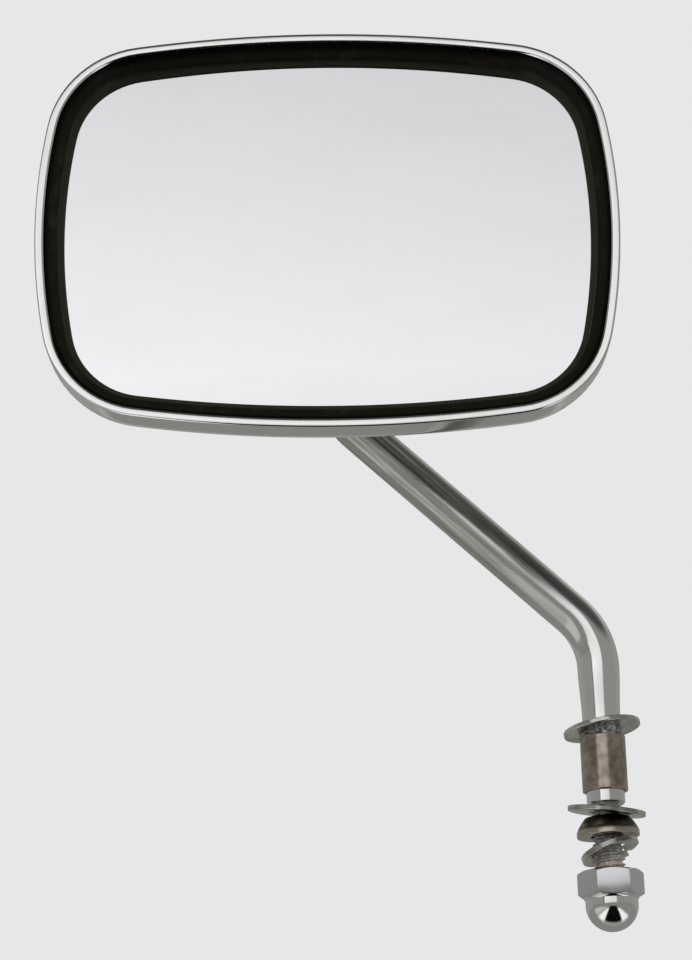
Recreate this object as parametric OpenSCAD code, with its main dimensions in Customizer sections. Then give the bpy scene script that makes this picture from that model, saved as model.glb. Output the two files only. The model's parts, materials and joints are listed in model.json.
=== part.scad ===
// Motorcycle mirror: a chromed dish with a bow-sided glass in a rubber gasket, carried by a ball
// on a bent rod whose threaded end still has its loose fixing hardware on it.
// +Z runs up the threaded end, the glass faces -Y, and the origin is the rod's lower shoulder.

/* [Head outline] */
// Width of the head over its chrome rim
head_w = 143.5; // [125:0.5:165]
// Height of the head over its chrome rim
head_h = 103; // [90:0.5:120]
// Radius to which the top and bottom edges are bowed
top_bow_r = 348; // [280:1:600]
// Radius to which the left and right edges are bowed
side_bow_r = 148; // [125:1:260]
// Radius of the four corners
corner_r = 25.7; // [21:0.1:30]

/* [Head shell] */
// Thickness of the pressed sheet
shell_t = 0.9; // [0.7:0.05:1.2]
// Width of the rolled rim seen from the front
rim_w = 2.2; // [1.9:0.1:2.8]
// Radius over which the rim rolls from its front to the side wall
rim_edge_r = 0.4; // [0.3:0.05:0.6]
// Radius of the rim's inner fold
rim_fold_r = 0.55; // [0.4:0.05:0.6]
// Angle by which the rim's front leans outwards at its outer edge
rim_lean_out = 7; // [4:1:10]
// Angle by which the rim's front leans inwards at its inner edge
rim_lean_in = 9; // [5:1:12]
// Depth of the straight side wall behind the front of the rim
wall_depth = 7; // [5:0.5:9]
// Draft of the side wall, inwards towards the back
wall_draft = 0.12; // [0:0.02:0.4]
// Radius between the side wall and the domed back
back_fillet_r = 14; // [11:0.5:16]
// Angle of that fillet at which the dome takes over
fillet_turn = 60; // [55:1:68]
// Depth from the front of the rim to the flat land in the middle of the back
back_depth = 28.5; // [27:0.5:32]
// Radius of that flat land
land_r = 17.5; // [16:0.5:19]

/* [Glass and gasket] */
// Thickness of the glass
glass_t = 2.2; // [1.8:0.1:3]
// Radius to which the glass is bowed
glass_bow_r = 1400; // [1000:10:4000]
// Depth of the middle of the glass behind the front of the rim
glass_recess = 4.4; // [4:0.1:5]
// How far in from the head's outline the edge of the glass lies
glass_inset = 3.6; // [3.3:0.1:4]
// How far in from the head's outline the gasket's front lip reaches
lip_inset = 6.8; // [6:0.1:8]
// Thickness of that lip
lip_t = 0.6; // [0.4:0.1:0.9]
// Width of the gasket's rear lip behind the glass
rear_lip_w = 2.3; // [1.8:0.1:3]
// Thickness of the gasket's rear lip
rear_lip_t = 1.4; // [1:0.1:2]
// How far in from the head's outline the edge of the foam pad lies
pad_inset = 9; // [8:0.5:14]

/* [Ball joint] */
// Radius of the ball on the end of the rod
ball_r = 7; // [6.5:0.1:7.5]
// Depth of the ball's centre behind the front of the rim
ball_depth = 24; // [23.5:0.5:26]
// Wall of the two plastic seats round the ball
seat_t = 1.97; // [1.6:0.01:2.2]
// Half the open gap between the two seats
seat_half_gap = 1.6; // [1.5:0.1:2]
// Half angle of the socket's opening for the neck
opening_angle = 46; // [45:0.5:49]
// How much wider the rear seat opens than the socket
seat_opening_extra = 2; // [1:0.5:4]
// Wall of the socket's outer dome
socket_wall = 1.85; // [1.5:0.05:2.2]
// Outer radius of the socket's tube
tube_r = 12.2; // [12:0.1:13]
// Radius of the socket's flange
flange_r = 17; // [15:0.5:17.5]
// Thickness of the socket's flange
flange_t = 1.4; // [1:0.1:2]
// Outer radius of the steel cup that presses on the front seat
cup_r = 10.6; // [10.4:0.1:10.8]
// Thickness of that cup at its middle
cup_t = 1.15; // [0.9:0.05:1.5]
// Thickness of the disc spring
spring_t = 0.9; // [0.7:0.05:1.1]
// Rise of the disc spring's cone
spring_rise = 0.55; // [0.3:0.05:0.7]
// Outer radius of the disc spring
spring_r = 10; // [9:0.1:11]
// Radius of the pilot that centres the disc spring
pilot_r = 5; // [4:0.1:6]

/* [Strap and screws] */
// Thickness of the strap that holds the cup and spring in
strap_t = 1.5; // [1.2:0.1:2]
// Width of the strap
strap_w = 24; // [20:0.5:30]
// Distance between the strap's two screws
screw_spacing = 43.2; // [43:0.1:48]
// Radius of the strap's two posts
post_r = 3.5; // [3.2:0.1:3.7]
// Radius of the screws' thread
screw_r = 2; // [1.5:0.1:2.2]
// Length of screw below its head
screw_l = 9.5; // [8:0.5:12]
// Radius of the screw heads
screw_head_r = 3.7; // [3.3:0.1:4]
// Height of the screw heads
screw_head_h = 2.2; // [1.6:0.1:2.4]
// Thickness of the spring washers under the screw heads
screw_washer_t = 0.8; // [0.5:0.1:1]

/* [Stem] */
// Diameter of the rod
stem_d = 10.5; // [9.5:0.1:11.2]
// Diameter of the rod's turned lower end
shank_d = 9.5; // [8.8:0.1:9.6]
// Diameter over the thread
stud_d = 7.94; // [7.5:0.01:8.2]
// Length of the threaded end below the shoulder
stud_len = 24; // [22:0.5:30]
// Height of the lower bend's corner above the shoulder
bend_height = 42.95; // [40:0.5:60]
// Slope of the rod between its bends, above the horizontal
stem_slope = 44; // [38:0.5:48]
// Centreline radius of the two equal bends
bend_r = 19.5; // [18:0.5:20]
// Centreline radius of the bend behind the head
neck_bend_r = 13; // [12:0.5:14]
// Sideways distance from the threaded end to the ball
stem_reach = 64.15; // [58:0.5:66]
// Height of the ball above the shoulder
ball_height = 136.5; // [135:0.5:150]
// Distance from the last bend to the ball's centre
neck_len = 12; // [12:0.5:16]
// Radius of the neck where it meets the ball
neck_r = 3.3; // [2.8:0.1:3.4]
// Radius of the neck's cone below the rod's shoulder
neck_root_r = 4.4; // [4:0.1:4.4]
// Length of full rod past the last bend, before its shoulder
neck_land = 0.3; // [0.2:0.1:1]
// Distance from the last bend to the foot of the rod's shoulder
neck_shoulder = 1; // [0.8:0.1:2]
// Distance from the last bend to the slim end of the neck's cone
neck_cone = 4; // [3:0.1:4.5]
// Length of the taper from the rod to its turned lower end
shank_taper = 13; // [8:0.5:15]
// Chamfer at the rod's shoulder
shoulder_chamfer = 0.5; // [0.3:0.1:0.6]
// Lean of the head on its ball as it was set
head_lean = 1.6; // [-4:0.1:4]

/* [Fixing hardware] */
// Outer diameter of both flat washers
washer_od = 19.3; // [17:0.1:20]
// Thickness of both flat washers
washer_t = 1.2; // [1:0.1:1.6]
// Height of the sleeve's lower end above the shoulder
sleeve_rise = 3.3; // [1:0.1:4]
// Length of the sleeve
sleeve_len = 13.8; // [10:0.1:15]
// Wall of the sleeve
sleeve_wall = 0.75; // [0.5:0.05:1.2]
// Length of the tapered spacer
cone_len = 4.8; // [4:0.1:5]
// Diameter of the tapered spacer's small end
cone_top_d = 11; // [10.6:0.1:13]
// Diameter of the tapered spacer's large end
cone_base_d = 15.5; // [14:0.1:17]
// Height of the straight rim at the tapered spacer's large end
cone_rim = 1.3; // [0.6:0.1:2]
// Outer diameter of the lock washer
lock_od = 14.8; // [14:0.1:15.5]
// Thickness of the lock washer
lock_t = 1.5; // [1.2:0.1:2.1]
// Distance across the flats of the dome nut
nut_af = 14.3; // [13:0.1:15]
// Height of the dome nut's hexagon
hex_h = 6.4; // [5.5:0.1:8]
// Diameter of the dome nut's dome
dome_d = 13; // [12:0.1:13.8]
// Length of stud that the dome nut covers
nut_grip = 7.5; // [4:0.1:8]
// Turn of the dome nut about the stud
nut_turn = 2; // [-15:1:15]

/* [Fits] */
// Running clearance between the ball and its seats
ball_gap = 0.08; // [0.05:0.01:0.1]
// Clearance between the seats and the steel round them
seat_gap = 0.1; // [0.08:0.01:0.15]
// Clearance between the cup and the socket's bore
bore_gap = 0.15; // [0.1:0.01:0.2]
// Clearance between the socket and the hole in the shell
hole_gap = 0.3; // [0.2:0.05:0.5]
// Gap left between rubber and its neighbours
rubber_gap = 0.1; // [0.05:0.01:0.2]
// Gap left between small steel pieces that are stacked
stack_gap = 0.05; // [0.02:0.01:0.1]
// Gap between the foam pad and the strap
pad_gap = 0.3; // [0.2:0.05:0.5]
// Radial clearance of the sleeve on the rod
sleeve_gap = 0.15; // [0.1:0.01:0.25]
// Radial clearance of the washers and the tapered spacer
washer_gap = 0.48; // [0.45:0.01:0.6]
// Radial clearance of the lock washer, which lies askew
lock_gap = 0.9; // [0.8:0.01:1]
// Radial clearance of the dome nut on the thread
nut_gap = 0.1; // [0.05:0.01:0.15]
// Radial clearance of the screws in their holes
screw_gap = 0.15; // [0.1:0.01:0.25]

/* [Hidden] */
$fn = 72;

// Points along each arc of a quarter of the head's outline
side_n = 5;
corner_n = 7;
top_n = 6;
// Rings over the fillet and over the dome
fillet_n = 5;
dome_n = 6;
// Rings from the edge to the middle of the glass
glass_n = 5;
cut = 1;

socket_inner_r = ball_r + ball_gap + seat_t + seat_gap;
socket_outer_r = socket_inner_r + socket_wall;
land_front = back_depth - shell_t - ball_depth;
dome_rise = max(land_front, 0);
hole_r = sqrt(socket_outer_r * socket_outer_r - dome_rise * dome_rise) + hole_gap;
cup_front = socket_inner_r + cup_t;
strap_back = cup_front + stack_gap + spring_rise + spring_t + stack_gap;
strap_front = strap_back + strap_t;
strap_r = screw_spacing / 2 + screw_head_r + 2;
// The rim's front is an arc between its outer roll and its inner fold
rim_bow_r = (rim_w - rim_fold_r * (1 - sin(rim_lean_in)) - rim_edge_r * (1 - sin(rim_lean_out)))
  / (sin(rim_lean_in) + sin(rim_lean_out));
rim_edge_w = rim_bow_r * (1 - cos(rim_lean_out)) + rim_edge_r * cos(rim_lean_out);
rim_fold_w = rim_bow_r * (1 - cos(rim_lean_in)) + rim_fold_r * cos(rim_lean_in);

turn = 90 - stem_slope;
bend_tangent = bend_r * tan(turn / 2);
rod_r = stem_d / 2;
// The rod draws down by this much on its radius through each bend, over this much more than the turn
bend_draw = 0.02;
bend_run = 1;
slope_len = stem_reach / cos(stem_slope) - 2 * bend_tangent;
rise_len = ball_height - neck_bend_r - bend_height - stem_reach * tan(stem_slope) - bend_tangent;
ball_forward = neck_bend_r + neck_len;

// Turns about X and about Y at which each loose piece came to rest on the rod
upper_washer_tilt = [-4, -8];
lower_washer_tilt = [5, 7];
cone_tilt = [0, -1];
lock_tilt = [-8, -17];
lock_shift = 0.3;
lock_rise = 0.8;
lock_gap_at = 45;
lock_gap_w = 9;
lock_n = 36;
loose = 0.3;
upper_washer_z = sleeve_rise + sleeve_len + washer_t / 2
  + (sleeve_bore(0) + sleeve_wall) * sin(norm(upper_washer_tilt)) + 2 * loose;
lower_washer_z = -washer_t / 2 - shank_d / 2 * sin(norm(lower_washer_tilt)) - loose;
cone_top_z = lower_washer_z - washer_t / 2
  - cone_top_d / 2 * sin(norm(lower_washer_tilt - cone_tilt)) - 2 * stack_gap;
lock_z = cone_top_z - cone_len - lock_t / 2 - lock_rise / 2
  - lock_od / 2 * sin(norm(lock_tilt - cone_tilt)) - stack_gap;
nut_z = nut_grip - stud_len;
dome_skirt = 2;
nut_tip_room = 1.5;

function sleeve_bore(extra) = shank_d / 2 + sleeve_gap + extra;

// Points along an arc from angle a to angle b, without its first one unless first is 0
function arc(centre, r, a, b, n, first) =
  [for (k = [first:n]) centre + r * [cos(a + (b - a) * k / n), sin(a + (b - a) * k / n)]];

// Centre of the corner arc that meets the top bow and the side bow tangentially
function corner_centre(p, q) =
  let (
    pr = top_bow_r - corner_r,
    qr = side_bow_r - corner_r,
    l = norm(q - p),
    x = (pr * pr - qr * qr + l * l) / (2 * l),
    h = sqrt(pr * pr - x * x),
    u = (q - p) / l
  )
  p + x * u + h * [u[1], -u[0]];

// The head's outline moved inwards by d, as one ring of points that starts at the right
function outline(d) =
  let (
    p = [0, head_h / 2 - top_bow_r],
    q = [head_w / 2 - side_bow_r, 0],
    c = corner_centre(p, q),
    a_side = atan2(c[1] - q[1], c[0] - q[0]),
    a_top = atan2(c[1] - p[1], c[0] - p[0]),
    quarter = concat(
      arc(q, side_bow_r - d, 0, a_side, side_n, 0),
      arc(c, corner_r - d, a_side, a_top, corner_n, 1),
      arc(p, top_bow_r - d, a_top, 90, top_n, 1)
    ),
    n = len(quarter)
  )
  concat(
    quarter,
    [for (k = [n - 2:-1:0]) [-quarter[k][0], quarter[k][1]]],
    [for (k = [1:n - 1]) -quarter[k]],
    [for (k = [n - 2:-1:1]) [quarter[k][0], -quarter[k][1]]]
  );

// How far the bowed glass has fallen back at a point of the outline
function sag(p) = (p[0] * p[0] + p[1] * p[1]) / (2 * glass_bow_r);

// The outline moved inwards by d, at depth w, and following the glass by a share of its sag
function ring(d, w, follow = 0) = [for (p = outline(d)) [p[0], p[1], w + follow * sag(p)]];

// The same ring drawn in towards the middle by a factor
function drawn_ring(d, w, f) = [for (p = outline(d)) [f * p[0], f * p[1], w + sag(f * p)]];

// Depth of the dome a share m of the way from its foot to the land, over a run of length l
function dome_w(m, l, w, slope) =
  w * (1 - 3 * m * m + 2 * m * m * m) + (back_depth_at(w)) * (3 * m * m - 2 * m * m * m)
  + slope * l * (m - 2 * m * m + m * m * m);

// The foot of the dome is outside or inside the sheet, and its land lies the sheet's thickness apart
function back_depth_at(w) = w > foot_w(back_fillet_r) - shell_t / 4 ? back_depth : back_depth - shell_t;

// Inset and depth of the end of a back fillet of radius r
function foot_d(r) = wall_draft + back_fillet_r - r * cos(fillet_turn);
function foot_w(r) = wall_depth + r * sin(fillet_turn);

// One ring of the dome, from the end of a fillet of radius r towards the land
function dome_ring(r, m) =
  [for (p = outline(foot_d(r)))
    let (
      l = norm(p) - land_r,
      f = (norm(p) - l * m) / norm(p)
    )
    [f * p[0], f * p[1], dome_w(m, l, foot_w(r), cos(fillet_turn) / sin(fillet_turn))]
  ];

// A round ring whose points lie in the same directions as the dome's
function round_ring(radius, w) =
  [for (p = outline(foot_d(back_fillet_r))) [radius * p[0] / norm(p), radius * p[1] / norm(p), w]];

// Inside depth of the dome at a distance from the middle, along the head's long axis
function inside_w(x) =
  let (l = head_w / 2 - foot_d(back_fillet_r - shell_t) - land_r)
  dome_w(min(1, 1 - (x - land_r) / l), l, foot_w(back_fillet_r - shell_t),
    cos(fillet_turn) / sin(fillet_turn));

// The mean of a ring's points
function middle(r) = [for (i = [0:2]) [for (p = r) p[i]] * [for (p = r) 1] / len(r)];

// A closed skin over a stack of rings: a tube if it loops back on itself, or else capped at its ends
module skin(rings, loop = false) {
  n = len(rings[0]);
  m = len(rings);
  sides = [for (i = [0:loop ? m - 1 : m - 2], j = [0:n - 1])
    let (
      a = i * n + j,
      b = i * n + (j + 1) % n,
      c = (i + 1) % m * n + (j + 1) % n,
      d = (i + 1) % m * n + j
    )
    each [[a, c, b], [a, d, c]]
  ];
  caps = loop ? [] : [for (j = [0:n - 1])
    let (k = (j + 1) % n)
    each [[m * n, j, k], [m * n + 1, (m - 1) * n + k, (m - 1) * n + j]]
  ];
  points = [for (r = rings) each r];
  polyhedron(
    points = loop ? points : concat(points, [middle(rings[0]), middle(rings[m - 1])]),
    faces = concat(sides, caps),
    convexity = 6
  );
}

// Places a piece of the head, drawn with its outline in XY and its depth along Z
module in_head() {
  translate([-stem_reach, -ball_forward, ball_height])
    rotate([0, head_lean, 0])
      rotate([-90, 0, 0])
        translate([0, 0, -ball_depth])
          children();
}

// Places a piece of the ball joint, drawn round the ball with its depth along Z
module in_socket() {
  in_head() translate([0, 0, ball_depth]) children();
}

// A cone that widens from the ball's centre towards the back
module sight_cone(angle) {
  cylinder(r1 = 0, r2 = 2 * socket_outer_r * tan(angle), h = 2 * socket_outer_r);
}

// Inset and depth of the rim's section, from its inner fold over its front to the side wall
function rim_points() =
  concat(
    [for (a = [150:-47:rim_lean_in + 1])
      [rim_w - rim_fold_r + rim_fold_r * sin(a), rim_fold_w - rim_fold_r * cos(a)]],
    [for (k = [0:3])
      let (a = rim_lean_in - (rim_lean_in + rim_lean_out) * k / 3)
      [rim_edge_r * (1 - sin(rim_lean_out)) + rim_bow_r * (sin(rim_lean_out) + sin(a)),
        rim_bow_r * (1 - cos(a))]],
    [for (a = [45, 90]) [rim_edge_r * (1 - sin(a)), rim_edge_w - rim_edge_r * cos(a)]]
  );

// The pressed dish, from the inside of its rolled rim over the back to the hole and round again
module shell() {
  step = fillet_turn / fillet_n;
  inner_r = back_fillet_r - shell_t;
  mid = wall_draft + back_fillet_r;
  rings = concat(
    [for (b = rim_points()) ring(b[0], b[1])],
    [for (k = [0:fillet_n]) ring(mid - back_fillet_r * cos(k * step),
      wall_depth + back_fillet_r * sin(k * step))],
    [for (k = [1:dome_n]) dome_ring(back_fillet_r, k / dome_n)],
    [round_ring(hole_r, back_depth), round_ring(hole_r, back_depth - shell_t)],
    [for (k = [dome_n:-1:1]) dome_ring(inner_r, k / dome_n)],
    [for (k = [fillet_n:-1:0]) ring(mid - inner_r * cos(k * step),
      wall_depth + inner_r * sin(k * step))],
    [ring(shell_t + 0.05, rim_fold_w + 2 * shell_t)]
  );
  color("gainsboro") in_head() skin(rings, loop = true);
}

// The rubber channel that holds the glass, with a stepped face in front and a lip behind
module gasket() {
  back = glass_recess + glass_t + rubber_gap;
  face = rim_w + 0.15;
  slope = lip_inset - face;
  front = glass_recess - rubber_gap - lip_t;
  profile = [
    [rim_w + 0.05, 1.25 * rim_w, 0],
    [shell_t + rubber_gap + 0.15, 1.3 * rim_w, 0],
    [shell_t + rubber_gap + wall_draft, min(wall_depth, back), 0],
    [shell_t + rubber_gap + wall_draft + 0.5, back + rear_lip_t, 0],
    [glass_inset, back + rear_lip_t + 0.6, 0.7],
    [glass_inset + rear_lip_w, back + rear_lip_t, 1],
    [glass_inset + rear_lip_w, back, 1],
    [glass_inset - rubber_gap, back, 1],
    [glass_inset - rubber_gap, glass_recess - rubber_gap, 1],
    [lip_inset, glass_recess - rubber_gap, 1],
    [lip_inset, front + lip_t / 2, 1],
    [lip_inset - 0.3, front, 0.95],
    [face + 0.62 * slope, front - 0.5, 0.8],
    [face + 0.5 * slope, 0.62 * front, 0.6],
    [face + 0.3 * slope, 0.5 * front, 0.4],
    [face + 0.12 * slope, 0.3 * front, 0.2],
    [face, 0.375 * rim_w, 0]
  ];
  color("#15140f") in_head() skin([for (p = profile) ring(p[0], p[1], p[2])], loop = true);
}

// The bowed mirror glass, silvered on its back
module mirror_glass() {
  color("lavender") in_head() skin(concat(
    [for (k = [1:glass_n]) drawn_ring(glass_inset, glass_recess, k / glass_n)],
    [for (k = [glass_n:-1:1]) drawn_ring(glass_inset, glass_recess + glass_t, k / glass_n)]
  ));
}

// The foam pad that fills the space between the glass and the strap, cleared for the screw heads
module backing_pad() {
  front = glass_recess + glass_t + rubber_gap;
  back = ball_depth - strap_front - pad_gap;
  edge = [for (p = outline(pad_inset)) [p[0], p[1], back]];
  color("dimgray") in_head() difference() {
    skin(concat(
      [for (k = [1:glass_n]) drawn_ring(pad_inset, front, k / glass_n)],
      [edge]
    ));
    for (x = [-1, 1]) translate([x * screw_spacing / 2, 0, 0])
      cylinder(r = screw_head_r + 3 * pad_gap, h = back + cut);
  }
}

// The steel socket: a domed seat for the ball, a tube that guides the cup and a flange on the shell
module ball_socket() {
  bore_r = cup_r + bore_gap;
  color("silver") in_socket() difference() {
    union() {
      translate([0, 0, -ball_r]) cylinder(r = tube_r, h = land_front + ball_r);
      translate([0, 0, -ball_r]) cylinder(r = socket_outer_r, h = ball_r);
      translate([0, 0, land_front - flange_t]) cylinder(r = flange_r, h = flange_t);
      intersection() {
        sphere(r = socket_outer_r);
        cylinder(r = socket_outer_r + cut, h = socket_outer_r + cut);
      }
    }
    sphere(r = socket_inner_r);
    translate([0, 0, -ball_r - cut]) cylinder(r = bore_r, h = ball_r + cut + seat_half_gap / 2);
    sight_cone(opening_angle);
  }
}

// One plastic seat: a zone of a spherical shell that is open for the neck at the back
module rear_seat() {
  color("ivory") in_socket() difference() {
    intersection() {
      sphere(r = ball_r + ball_gap + seat_t);
      translate([0, 0, seat_half_gap]) cylinder(r = 2 * ball_r, h = 2 * ball_r);
    }
    sphere(r = ball_r + ball_gap);
    sight_cone(opening_angle + seat_opening_extra);
  }
}

// The other plastic seat, with a grease hole at its middle
module front_seat() {
  color("ivory") in_socket() mirror([0, 0, 1]) difference() {
    intersection() {
      sphere(r = ball_r + ball_gap + seat_t);
      translate([0, 0, seat_half_gap]) cylinder(r = 2 * ball_r, h = 2 * ball_r);
    }
    sphere(r = ball_r + ball_gap);
    cylinder(r = pilot_r / 2, h = 2 * ball_r);
  }
}

// The steel cup that presses the front seat onto the ball
module pressure_cup() {
  color("darkgray") in_socket() difference() {
    union() {
      translate([0, 0, -cup_front]) cylinder(r = cup_r, h = cup_front - 0.75 * seat_half_gap);
      translate([0, 0, -cup_front - spring_t]) cylinder(r = pilot_r, h = spring_t + cut);
    }
    sphere(r = socket_inner_r);
    translate([0, 0, -2 * cup_front]) cylinder(r = pilot_r / 3, h = 2 * cup_front);
  }
}

// The coned disc spring between the cup and the strap
module disc_spring() {
  inner = pilot_r + 2 * stack_gap;
  z = -cup_front - stack_gap;
  color("slategray") in_socket() rotate_extrude() polygon([
    [inner, z - spring_t],
    [spring_r, z - spring_t - spring_rise],
    [spring_r, z - spring_rise],
    [inner, z]
  ]);
}

// The strap across the head that holds the cup and spring in, with a hole for the grease
module strap() {
  color("lightsteelblue") in_socket() translate([0, 0, -strap_front]) difference() {
    intersection() {
      cylinder(r = strap_r, h = strap_t);
      translate([-strap_r - cut, -strap_w / 2, -cut])
        cube([2 * strap_r + 2 * cut, strap_w, strap_t + 2 * cut]);
    }
    translate([0, 0, -cut]) cylinder(r = pilot_r / 2, h = strap_t + 2 * cut);
    for (x = [-1, 1]) translate([x * screw_spacing / 2, 0, -cut])
      cylinder(r = screw_r + screw_gap, h = strap_t + 2 * cut);
  }
}

// The two tapped posts welded inside the shell
module strap_posts() {
  x = screw_spacing / 2;
  foot = inside_w(x + post_r) - ball_depth - stack_gap;
  front = -strap_back + stack_gap;
  color("gray") in_socket() for (side = [-1, 1]) translate([side * x, 0, 0]) difference() {
    translate([0, 0, front]) cylinder(r = post_r, h = foot - front);
    translate([0, 0, front - cut]) cylinder(r = screw_r + screw_gap / 2, h = screw_l + 2 * cut);
  }
}

// The two pan-headed screws, each with a cross recess
module strap_screws() {
  z = -strap_front - 2 * stack_gap - screw_washer_t;
  slot = screw_r / 2;
  color("silver") in_socket() for (side = [-1, 1]) translate([side * screw_spacing / 2, 0, z]) difference() {
    union() {
      cylinder(r = screw_r, h = screw_l);
      rotate_extrude() polygon([
        [0, 0],
        [screw_head_r, 0],
        [screw_head_r, -screw_head_h / 2],
        [screw_head_r * 0.7, -screw_head_h],
        [0, -screw_head_h]
      ]);
    }
    for (a = [0, 90]) rotate([0, 0, a]) translate([-screw_head_r / 2, -slot / 2, -screw_head_h - cut])
      cube([screw_head_r, slot, screw_head_h / 2 + cut]);
  }
}

// The two washers under the screw heads
module screw_washers() {
  z = -strap_front - stack_gap - screw_washer_t;
  color("lightgray") in_socket() for (side = [-1, 1]) translate([side * screw_spacing / 2, 0, z])
    difference() {
      cylinder(r = screw_head_r + 0.2, h = screw_washer_t);
      translate([0, 0, -cut]) cylinder(r = screw_r + screw_gap, h = screw_washer_t + 2 * cut);
    }
}

// A bend of the rod in the XZ plane about the origin, a hair thinner than the straight rod
module bend(r, angle) {
  rotate([90, 0, 0]) rotate([0, 0, -bend_run]) rotate_extrude(angle = angle + 2 * bend_run)
    translate([r, 0]) circle(r = rod_r - bend_draw);
}

// Carries its children round a bend, to where the rod leaves it
module past_bend(r, angle) {
  rotate([0, -angle, 0]) translate([r, 0, 0]) children();
}

// The turned lower end: thread, chamfered shoulder, shank and taper up to the rod
module stem_foot() {
  top = bend_height - bend_tangent;
  rotate_extrude() polygon([
    [0, -stud_len],
    [stud_d / 2 - 0.8, -stud_len],
    [stud_d / 2, 0.8 - stud_len],
    [stud_d / 2, 0],
    [shank_d / 2 - shoulder_chamfer, 0],
    [shank_d / 2, shoulder_chamfer],
    [shank_d / 2, top - shank_taper],
    [rod_r, top],
    [0, top]
  ]);
}

// The neck and the ball, drawn up Z from the end of the last bend
module stem_ball() {
  rotate_extrude() polygon([
    [0, 0],
    [rod_r, 0],
    [rod_r, neck_land],
    [neck_root_r, neck_shoulder],
    [neck_r, neck_cone],
    [neck_r, neck_len],
    [0, neck_len]
  ]);
  translate([0, 0, neck_len]) sphere(r = ball_r);
}

// The bent rod, forged and turned as one piece with its ball and its threaded end
module stem() {
  color("gainsboro") union() {
    stem_foot();
    translate([-bend_r, 0, bend_height - bend_tangent]) {
      bend(bend_r, turn);
      past_bend(bend_r, turn) {
        cylinder(r = rod_r, h = slope_len);
        translate([bend_r, 0, slope_len]) mirror([1, 0, 0]) {
          bend(bend_r, turn);
          past_bend(bend_r, turn) {
            cylinder(r = rod_r, h = rise_len);
            translate([0, -neck_bend_r, rise_len]) rotate([0, 0, 90]) {
              bend(neck_bend_r, 90);
              past_bend(neck_bend_r, 90) stem_ball();
            }
          }
        }
      }
    }
  }
}

// A flat washer with its punched edges eased, round its own centre
module flat_washer(bore) {
  ease = washer_t / 6;
  r = washer_od / 2;
  rotate_extrude() polygon([
    [bore, -washer_t / 2],
    [r - ease, -washer_t / 2],
    [r, ease - washer_t / 2],
    [r, washer_t / 2 - ease],
    [r - ease, washer_t / 2],
    [bore, washer_t / 2]
  ]);
}

// The washer above the sleeve, wide enough in its bore for the shank
module upper_washer() {
  color("silver") translate([0, 0, upper_washer_z])
    rotate([upper_washer_tilt[0], upper_washer_tilt[1], 0])
      flat_washer(shank_d / 2 + washer_gap);
}

// The thin brown sleeve on the shank
module sleeve_spacer() {
  color("#786458") translate([0, 0, sleeve_rise]) difference() {
    cylinder(r = sleeve_bore(sleeve_wall), h = sleeve_len);
    translate([0, 0, -cut]) cylinder(r = sleeve_bore(0), h = sleeve_len + 2 * cut);
  }
}

// The washer under the shoulder
module lower_washer() {
  color("silver") translate([0, 0, lower_washer_z])
    rotate([lower_washer_tilt[0], lower_washer_tilt[1], 0])
      flat_washer(stud_d / 2 + washer_gap);
}

// The dark tapered spacer, wide end down, with a short straight rim
module cone_spacer() {
  bore = stud_d / 2 + washer_gap;
  color("#4a3c34") translate([0, 0, cone_top_z]) rotate([cone_tilt[0], cone_tilt[1], 0])
    rotate_extrude() polygon([
      [bore, 0],
      [cone_top_d / 2, 0],
      [cone_base_d / 2, cone_rim - cone_len],
      [cone_base_d / 2, -cone_len],
      [bore, -cone_len]
    ]);
}

// The split lock washer, wound as part of a turn
module lock_washer() {
  inner = stud_d / 2 + lock_gap;
  span = 360 - lock_gap_w;
  rings = [for (k = [0:lock_n])
    let (
      a = lock_gap_at + lock_gap_w / 2 + span * k / lock_n,
      z = lock_rise * (k / lock_n - 0.5)
    )
    [for (c = [[inner, -1], [lock_od / 2, -1], [lock_od / 2, 1], [inner, 1]])
      [c[0] * cos(a), c[0] * sin(a), z + c[1] * lock_t / 2]]
  ];
  color("lightgray") translate([lock_shift, 0, lock_z]) rotate([lock_tilt[0], lock_tilt[1], 0]) skin(rings);
}

// The dome nut: a chamfered hexagon and a domed cap, bored blind for the stud
module dome_nut() {
  hex_r = nut_af / 2 / cos(30);
  bevel = (hex_r - nut_af / 2 + 0.1) * tan(30);
  bore = stud_d / 2 + nut_gap;
  depth = nut_grip + nut_tip_room;
  color("gainsboro") translate([0, 0, nut_z]) rotate([0, 0, nut_turn]) difference() {
    union() {
      intersection() {
        translate([0, 0, -hex_h]) cylinder(r = hex_r, h = hex_h, $fn = 6);
        rotate_extrude() polygon([
          [0, 0],
          [nut_af / 2 - 0.1, 0],
          [hex_r, -bevel],
          [hex_r, bevel - hex_h],
          [nut_af / 2 - 0.1, -hex_h],
          [0, -hex_h]
        ]);
      }
      translate([0, 0, -hex_h - dome_skirt]) cylinder(r = dome_d / 2, h = dome_skirt + cut);
      translate([0, 0, -hex_h - dome_skirt]) sphere(r = dome_d / 2);
    }
    translate([0, 0, -depth]) cylinder(r = bore, h = depth + cut);
    translate([0, 0, -depth - bore / 2]) cylinder(r1 = 0, r2 = bore, h = bore / 2);
  }
}

shell();
gasket();
mirror_glass();
backing_pad();
ball_socket();
rear_seat();
front_seat();
pressure_cup();
disc_spring();
strap();
strap_posts();
strap_screws();
screw_washers();
stem();
upper_washer();
sleeve_spacer();
lower_washer();
cone_spacer();
lock_washer();
dome_nut();
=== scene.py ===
# %% [markdown]
# # A chromed motorcycle mirror
#
# The mirror hangs in the air in front of the camera: a bow-sided chromed dish with a rubber gasket
# and a glass, a bent rod behind it, and the loose fixing hardware on the rod's threaded end.
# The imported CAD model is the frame. It fixes every size and place, so we load it first and keep
# its box, to compare the finished model with it at the end.

import json
import math

import bmesh
import bpy
from mathutils import Matrix, Vector


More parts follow.
